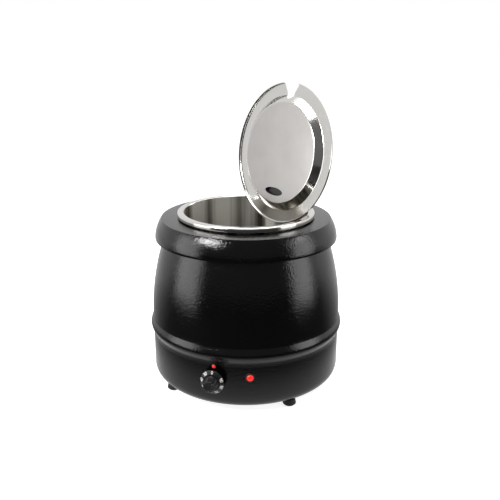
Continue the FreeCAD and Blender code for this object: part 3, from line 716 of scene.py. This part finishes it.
screw.data.transform(Matrix.Translation((SCREW_CIRCLE * MM, 0, PLATE_LOW * MM)))
settle(copied(screw, 4, FIRST_SCREW, zinc), "kettle", "zinc_steel", "base_screws")

# The CAD nodes that stay in sight or inside keep their shapes and get their finishes
for finish, names in (
        (zinc, ("base_plate", "heat_shield", "bush_nut", "thermostat_shaft")),
        (cast, ("heater_plate",)),
        (drawn_steel, ("heating_element",)),
        (white_nylon, ("thermostat", "terminal_block")),
        (phenolic, ("thermal_cutout",)),
        (wool, ("insulation_sleeve",))):
    for name in names:
        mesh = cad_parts[name].data
        mesh.materials.clear()
        mesh.materials.append(finish)


# Studio, in metres and watts: a pale floor, a white surround and soft boxes at both sides and above.
# The floor glows white to the camera. In reflections it is dark in front of the kettle,
# and bright close to it and behind it.
FLOOR_SIZE, FLOOR_DROP, FLOOR_GLOW = 12, 0.0004, 0.85
NEAR_FULL, NEAR_END, NEAR_GLOW = 0.2, 0.33, 0.8
BEHIND_FROM, BEHIND_FULL, BEHIND_GLOW = 0.0, 0.6, 0.7
floor_white, tree, shader, where = material("pale_floor", "C8C8C8", {
    "Roughness": 0.9, "IOR": 1.2, "Emission Color": linear("FFFFFF")})
rays = add(tree, "ShaderNodeLightPath")
seen = add(tree, "ShaderNodeMix", {
    "data_type": "RGBA", MIX_A: linear("2C2C2C"), MIX_B: linear("C8C8C8")}, {0: (rays, "Is Camera Ray")})
plain = add(tree, "ShaderNodeMath", {"operation": "MULTIPLY", 1: FLOOR_GLOW}, {0: (rays, "Is Camera Ray")})
reach = add(tree, "ShaderNodeVectorMath", {"operation": "LENGTH"}, {0: (where, "Object")})
near = add(tree, "ShaderNodeMapRange", {
    "From Min": NEAR_FULL,
    "From Max": NEAR_END,
    "To Min": NEAR_GLOW,
    "To Max": 0.0}, {"Value": (reach, "Value")})
along = add(tree, "ShaderNodeSeparateXYZ", links={0: (where, "Object")})
behind = add(tree, "ShaderNodeMapRange", {
    "From Min": BEHIND_FROM, "From Max": BEHIND_FULL, "To Max": BEHIND_GLOW}, {"Value": (along, "Y")})
mirrored = add(tree, "ShaderNodeMath", {"operation": "MAXIMUM"}, {0: (near, 0), 1: (behind, 0)})
glow = add(tree, "ShaderNodeMath", {"operation": "MAXIMUM"}, {0: (plain, 0), 1: (mirrored, 0)})
add(tree, shader, links={"Base Color": (seen, MIX_RESULT), "Emission Strength": (glow, 0)})
bpy.ops.mesh.primitive_plane_add(size=FLOOR_SIZE, location=(0, 0, -FLOOR_DROP))
floor = bpy.context.object
floor.name = "floor"
floor.data.materials.append(floor_white)

# The surround is white to the camera. In reflections it is dark in front of the kettle and light behind it.
DARK_UNTIL, LIGHT_FROM, DARK_GLOW, LIGHT_GLOW = -0.6, 0.35, 0.14, 0.9
world = bpy.data.worlds.new("studio")
bpy.context.scene.world = world
world.use_nodes = True
tree = world.node_tree
sky = add(tree, "ShaderNodeTexCoord")
sides = add(tree, "ShaderNodeSeparateXYZ", links={0: (sky, "Generated")})
shade = add(tree, "ShaderNodeMapRange", {
    "interpolation_type": "SMOOTHSTEP",
    "From Min": DARK_UNTIL,
    "From Max": LIGHT_FROM,
    "To Min": DARK_GLOW,
    "To Max": LIGHT_GLOW}, {"Value": (sides, "Y")})
around_light = add(tree, tree.nodes["Background"], {"Color": linear("FFFFFF")}, {"Strength": (shade, 0)})
backdrop = add(tree, "ShaderNodeBackground", {"Color": linear("FFFFFF"), "Strength": 1.0})
rays = add(tree, "ShaderNodeLightPath")
blend = add(tree, "ShaderNodeMixShader", links={
    0: (rays, "Is Camera Ray"), 1: (around_light, 0), 2: (backdrop, 0)})
add(tree, tree.nodes["World Output"], links={"Surface": (blend, 0)})


def soft_box(name, place, aim, width, height, power):
    """A rectangular soft light that looks at a point, out of the camera's sight."""
    lamp = bpy.data.lights.new(name, "AREA")
    lamp.shape = "RECTANGLE"
    lamp.size = width
    lamp.size_y = height
    lamp.energy = power
    made = bpy.data.objects.new(name, lamp)
    made.location = place
    made.rotation_euler = (Vector(aim) - Vector(place)).to_track_quat("-Z", "Y").to_euler()
    made.visible_camera = False
    bpy.context.scene.collection.objects.link(made)


BARREL_MIDDLE, COLLAR_FRONT, KETTLE_MIDDLE = (0, 0, 0.25), (0, -0.1, 0.29), (0, 0, 0.2)
soft_box("left_box", (-1.12, -0.35, 0.45), BARREL_MIDDLE, 0.7, 0.9, 5.4)
soft_box("left_key", (-0.85, -0.75, 1.0), COLLAR_FRONT, 0.55, 0.3, 12.0)
soft_box("right_box", (1.1, -0.4, 0.45), BARREL_MIDDLE, 0.6, 0.9, 4.4)
soft_box("right_key", (1.1, -0.3, 0.9), COLLAR_FRONT, 0.25, 0.25, 0.6)
soft_box("over_box", (0, 0, 1.6), KETTLE_MIDDLE, 1.4, 0.9, 26.0)

# The camera that was fitted to the kettle's ellipses: its pitch in degrees, the lens and sensor in mm
PITCH_DOWN = 17.77
camera = bpy.data.cameras.new("camera")
camera.sensor_width = 36.0
camera.lens = 48.96
camera.shift_x = 0.00814
camera.shift_y = 0.00027
viewer = bpy.data.objects.new("camera", camera)
viewer.location = (0, -1.14059, 0.59718)
viewer.rotation_euler = (math.radians(90 - PITCH_DOWN), 0, 0)
bpy.context.scene.collection.objects.link(viewer)
bpy.context.scene.camera = viewer
bpy.context.scene.view_settings.view_transform = "Standard"
